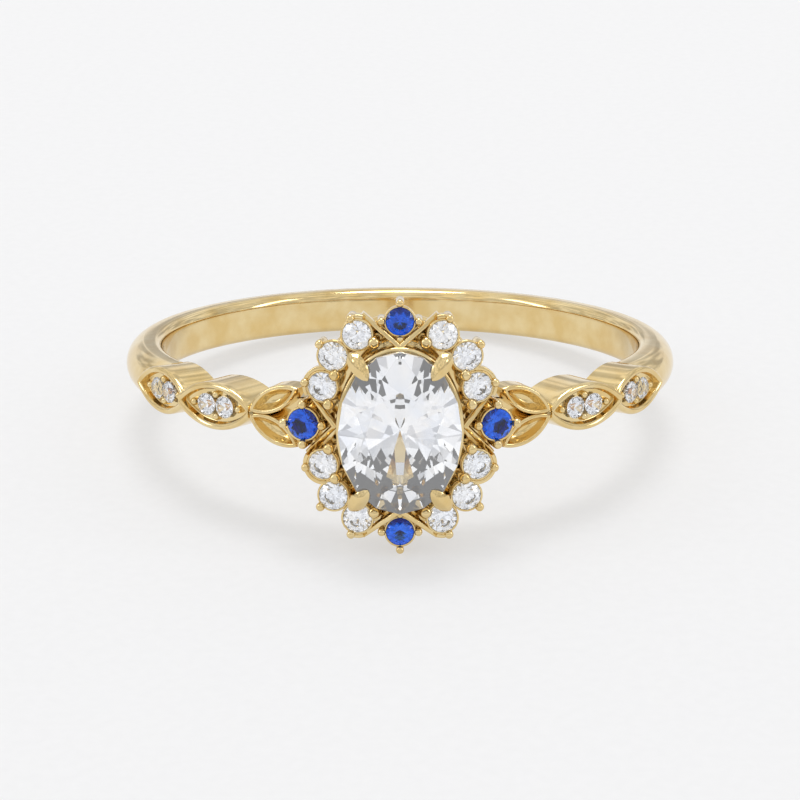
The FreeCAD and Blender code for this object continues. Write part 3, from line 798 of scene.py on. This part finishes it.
def addCup(body, place, stoneWidth):
    # a tapered cup with a thin rounded lip, a seat for the stone and a hole below it
    half = stoneWidth / 2
    outer = half + halo["wall"]
    lip = halo["wall"] * 0.55
    profile = [(halo["hole"], -halo["cupDepth"]), (halo["cupFoot"] - 0.03, -halo["cupDepth"])]
    profile += [(halo["cupFoot"], -halo["cupDepth"] + 0.03), (outer * 0.86, -0.42)]
    profile += [(outer * 0.97, -0.2), (outer, -0.08)]
    profile += arcProfile((outer - lip, -0.01), lip, 0, 180, 8)
    profile += [(half + hairline, -0.05), (halo["hole"] + 0.04, -0.30), (halo["hole"], -0.36)]
    addSkin(body, turnedRows(place, profile, 44), ringRows=True)


def spotRound(place, distance, bearing, mirrored, rise=0.0):
    # a spot beside a stone; mirrored is (round the finger, along it) as signs
    turn = math.radians(bearing)
    x, y = mirrored[0] * distance * math.cos(turn), mirrored[1] * distance * math.sin(turn)
    return place @ Matrix.Translation((x, y, rise))


def addProng(body, place, radius, distance, bearing, mirrored=(1, 1)):
    spot = spotRound(place, distance, bearing, mirrored)
    low, rise, squash = -halo["prongDepth"], halo["prongRise"], halo["prongSquash"]
    addSkin(body, dome(spot, radius, low, rise, squash))


def addCrescent(body, place, start, finish, mirrored):
    section = roundedSection(*(crescent[part] for part in ("halfWidth", "upper", "lower", "round")))
    rows = []
    for k in range(25):
        bearing = start + (finish - start) * k / 24
        row = []
        for out, rise in section:
            spot = spotRound(place, crescent["radius"] + out, bearing, mirrored, rise)
            row.append(spot.to_translation())
        rows.append(row)
    addSkin(body, rows)


def haloPlaces():
    pitch = halo["stoneWidth"] + halo["gap"]
    leanNear, leanFar = math.radians(halo["leanNear"]), math.radians(halo["leanFar"])
    near = (centre["halfWidth"] + halo["sideClear"], centre["halfLength"] - halo["endClear"])
    middle = (near[0] - pitch * math.sin(leanNear), near[1] + pitch * math.cos(leanNear))
    far = (middle[0] - pitch * math.sin(leanFar), middle[1] + pitch * math.cos(leanFar))
    return {"near": near, "middle": middle, "far": far}


def makeHaloQuarter(side, end):
    lift = boreRadius + halo["girdle"]
    mirrored = (sides[side], ends[end])
    body = newCasting()
    places = {}
    for name, (roundFinger, along) in haloPlaces().items():
        swing = math.degrees(sides[side] * roundFinger / lift)
        places[name] = station(swing, ends[end] * along, lift)
        addCup(body, places[name], halo["stoneWidth"])
    for stone, bearing, kind in haloProngs:
        radius, outward = halo[kind]
        distance = halo["stoneWidth"] / 2 + outward
        addProng(body, places[stone], radius, distance, bearing, mirrored)
    for stone, start, finish in crescent["arcs"]:
        addCrescent(body, places[stone], start, finish, mirrored)
    label = f"halo_{end}_{side}"
    setPiece(f"{label}_cups", body, [f"{label}_setting"])


for end in ends:
    for side in sides:
        makeHaloQuarter(side, end)
print("halo made")

# Sapphire settings

sapphireSetting = {
    "girdle": 2.28,
    "endWidth": 0.90,
    "sideWidth": 1.02,
    "endClear": 0.826,
    "sideClear": 1.194,
    "endProng": 0.132,
    "sideProng": 0.158,
    "prongSet": 0.145,
    "pegRadius": 0.30,
    "pegBite": 0.05,
}


def makeSapphireSetting(name, swing, along, kind):
    # the settings at the sides stand on pegs
    width, prongRadius = sapphireSetting[f"{kind}Width"], sapphireSetting[f"{kind}Prong"]
    place = station(swing, along, boreRadius + sapphireSetting["girdle"])
    body = newCasting()
    addCup(body, place, width)
    distance = width / 2 + sapphireSetting["prongSet"]
    for number in range(4):
        addProng(body, place, prongRadius, distance, 90 * number)
    if kind == "side":
        radius, bite = sapphireSetting["pegRadius"], sapphireSetting["pegBite"]
        low = bridge["top"] - bite - sapphireSetting["girdle"]
        high = -halo["cupDepth"]
        profile = [(radius, low), (radius * 0.92, (low + high) / 2), (radius, high + bite)]
        addSkin(body, turnedRows(place, profile, 32))
    setPiece(f"sapphire_{name}_cup", body, [f"sapphire_{name}_setting"])


for end in ends:
    alongEnd = ends[end] * (centre["halfLength"] + sapphireSetting["endClear"])
    makeSapphireSetting(end, 0, alongEnd, "end")
for side in sides:
    roundSide = centre["halfWidth"] + sapphireSetting["sideClear"]
    sideSwing = math.degrees(sides[side] * roundSide / (boreRadius + sapphireSetting["girdle"]))
    makeSapphireSetting(side, sideSwing, 0, "side")
print("sapphire settings made")

# Chevron wires round the sapphires

chevron = {
    "halfWidth": 0.085,
    "upper": 0.095,
    "lower": 0.26,
    "round": 0.045,
    "endGap": 0.044,
    "endReach": 0.975,
    "endSpread": 1.217,
    "endHigh": 2.58,
    "endLow": 2.01,
    "sideGap": 0.116,
    "sideReach": 0.894,
    "sideSpread": 1.044,
    "sideHigh": 2.10,
    "sideLow": 1.40,
}


def makeChevron(name, path):
    # a wire of rounded rectangular section that turns one mitred corner
    section = roundedSection(*(chevron[part] for part in ("halfWidth", "upper", "lower", "round")))
    up = Vector((0, 0, 1))
    runs = [(b - a).normalized() for a, b in zip(path, path[1:])]
    flanks = [run.cross(up).normalized() for run in runs]
    mitre = (flanks[0] + flanks[1]).normalized()
    mitre /= mitre.dot(flanks[0])
    rows = []
    for spot, flank in zip(path, (flanks[0], mitre, flanks[1])):
        rows.append([spot + flank * out + up * rise for out, rise in section])
    body = newCasting()
    addSkin(body, rows)
    setPiece(f"chevron_wire_{name}", body, [f"chevron_{name}"])


for end, sign in ends.items():
    start = centre["halfLength"] + chevron["endGap"]
    reach, low = sign * (start + chevron["endReach"]), boreRadius + chevron["endLow"]
    feet = [Vector((mirror * chevron["endSpread"], reach, low)) for mirror in (-1, 1)]
    corner = Vector((0, sign * start, boreRadius + chevron["endHigh"]))
    makeChevron(end, [feet[0], corner, feet[1]])
for side, sign in sides.items():
    start = centre["halfWidth"] + chevron["sideGap"]
    reach, low = sign * (start + chevron["sideReach"]), boreRadius + chevron["sideLow"]
    feet = [Vector((reach, mirror * chevron["sideSpread"], low)) for mirror in (-1, 1)]
    corner = Vector((sign * start, 0, boreRadius + chevron["sideHigh"]))
    makeChevron(side, [feet[0], corner, feet[1]])
print("chevrons made")

# Table, lights and camera

studio = {
    "tableTone": "#949495",
    "tablePale": "#979798",
    "tableGlow": 0.53,
    "tableGrain": 0.4,       # mm across a patch of tone
    "tableSize": 6.0,        # metres
    "patchScale": 8.0,
    "patchDim": 0.6384,      # strength of the room's dimmest and brightest patches
    "patchBright": 1.1592,
    "keyPower": 1.5,
    "keySize": (0.26, 0.2),  # metres
    "sidePower": 0.35,
    "sideSize": (0.08, 0.4),
}


def makeTable():
    # an opal acrylic light table: even and pale, lit from below so that shadows stay light
    material, tree = newMaterial("opalAcrylicTable")
    where = addNode(tree, "ShaderNodeTexCoord")
    grain = addNode(
        tree, "ShaderNodeTexNoise", {"Scale": 1000 / studio["tableGrain"], "Detail": 2.0},
        {"Vector": where.outputs["Object"]},
    )
    tone = setRamp(
        addNode(tree, "ShaderNodeValToRGB", links={"Fac": grain.outputs["Fac"]}),
        [(0.3, studio["tableTone"]), (0.7, studio["tablePale"])],
    )
    acrylic = addNode(
        tree, "ShaderNodeBsdfPrincipled",
        {
            "Roughness": 0.9,
            "Specular IOR Level": 0.1,
            "Emission Color": srgb("#FFFFFF"),
            "Emission Strength": studio["tableGlow"],
        },
        {"Base Color": tone.outputs["Color"]},
    )
    addNode(tree, "ShaderNodeOutputMaterial", links={"Surface": acrylic.outputs["BSDF"]})
    mesh = bpy.data.meshes.new("table")
    half = studio["tableSize"] / 2
    low = cadBox[0][2]
    corners = [(-half, -half, low), (half, -half, low), (half, half, low), (-half, half, low)]
    mesh.from_pydata(corners, [], [(0, 1, 2, 3)])
    mesh.materials.append(material)
    table = bpy.data.objects.new("table", mesh)
    bpy.context.scene.collection.objects.link(table)


def makeSky():
    # a white room, a little dimmer low down, with soft bright and dim patches that give the
    # facets something to show
    world = bpy.data.worlds.new("studioRoom")
    bpy.context.scene.world = world
    world.use_nodes = True
    tree = world.node_tree
    tree.nodes.clear()
    where = addNode(tree, "ShaderNodeTexCoord")
    parts = addNode(tree, "ShaderNodeSeparateXYZ", links={"Vector": where.outputs["Generated"]})
    height = setRamp(
        addNode(tree, "ShaderNodeValToRGB", links={"Fac": parts.outputs["Z"]}),
        [(0.0, "#E4E4E6"), (0.35, "#F2F2F4"), (0.8, "#FFFFFF")],
    )
    patches = addNode(
        tree, "ShaderNodeTexNoise", {"Scale": studio["patchScale"], "Detail": 1.0},
        {"Vector": where.outputs["Generated"]},
    )
    lit = addNode(
        tree, "ShaderNodeMapRange",
        {
            "interpolation_type": "SMOOTHSTEP",
            "From Min": 0.38,
            "From Max": 0.66,
            "To Min": studio["patchDim"],
            "To Max": studio["patchBright"],
        },
        {"Value": patches.outputs["Fac"]},
    )
    room = addNode(
        tree, "ShaderNodeBackground",
        links={"Color": height.outputs["Color"], "Strength": lit.outputs["Result"]},
    )
    addNode(tree, "ShaderNodeOutputWorld", links={"Surface": room.outputs["Background"]})


def makeSoftbox(name, spot, size, power):
    # a soft white light that faces the ring
    light = bpy.data.lights.new(name, "AREA")
    light.shape = "RECTANGLE"
    light.size, light.size_y = size
    light.energy = power
    lamp = bpy.data.objects.new(name, light)
    lamp.location = spot
    lamp.rotation_euler = (-Vector(spot)).to_track_quat("-Z", "Y").to_euler()
    bpy.context.scene.collection.objects.link(lamp)


# metres, millimetres of lens, and degrees from the ring's own middle plane
camera = {"distance": 0.1, "above": 12.21, "down": 13.10, "lens": 125.45, "nearest": 0.005}


def makeCamera():
    data = bpy.data.cameras.new("camera")
    data.lens = camera["lens"]
    data.clip_start = camera["nearest"]
    eye = bpy.data.objects.new("camera", data)
    above, distance = math.radians(camera["above"]) + restTilt, camera["distance"]
    eye.location = (0, -distance * math.cos(above), distance * math.sin(above))
    eye.rotation_euler = (math.radians(90 - camera["down"]) - restTilt, 0, 0)
    bpy.context.scene.collection.objects.link(eye)
    bpy.context.scene.camera = eye


makeTable()
makeSky()
makeSoftbox("keySoftbox", (0, 0.18, 0.62), studio["keySize"], studio["keyPower"])
for side, sign in sides.items():
    makeSoftbox(f"{side}Softbox", (sign * 0.5, -0.1, 0.3), studio["sideSize"], studio["sidePower"])
makeCamera()
bpy.context.scene.view_settings.view_transform = "Standard"
print("studio made")
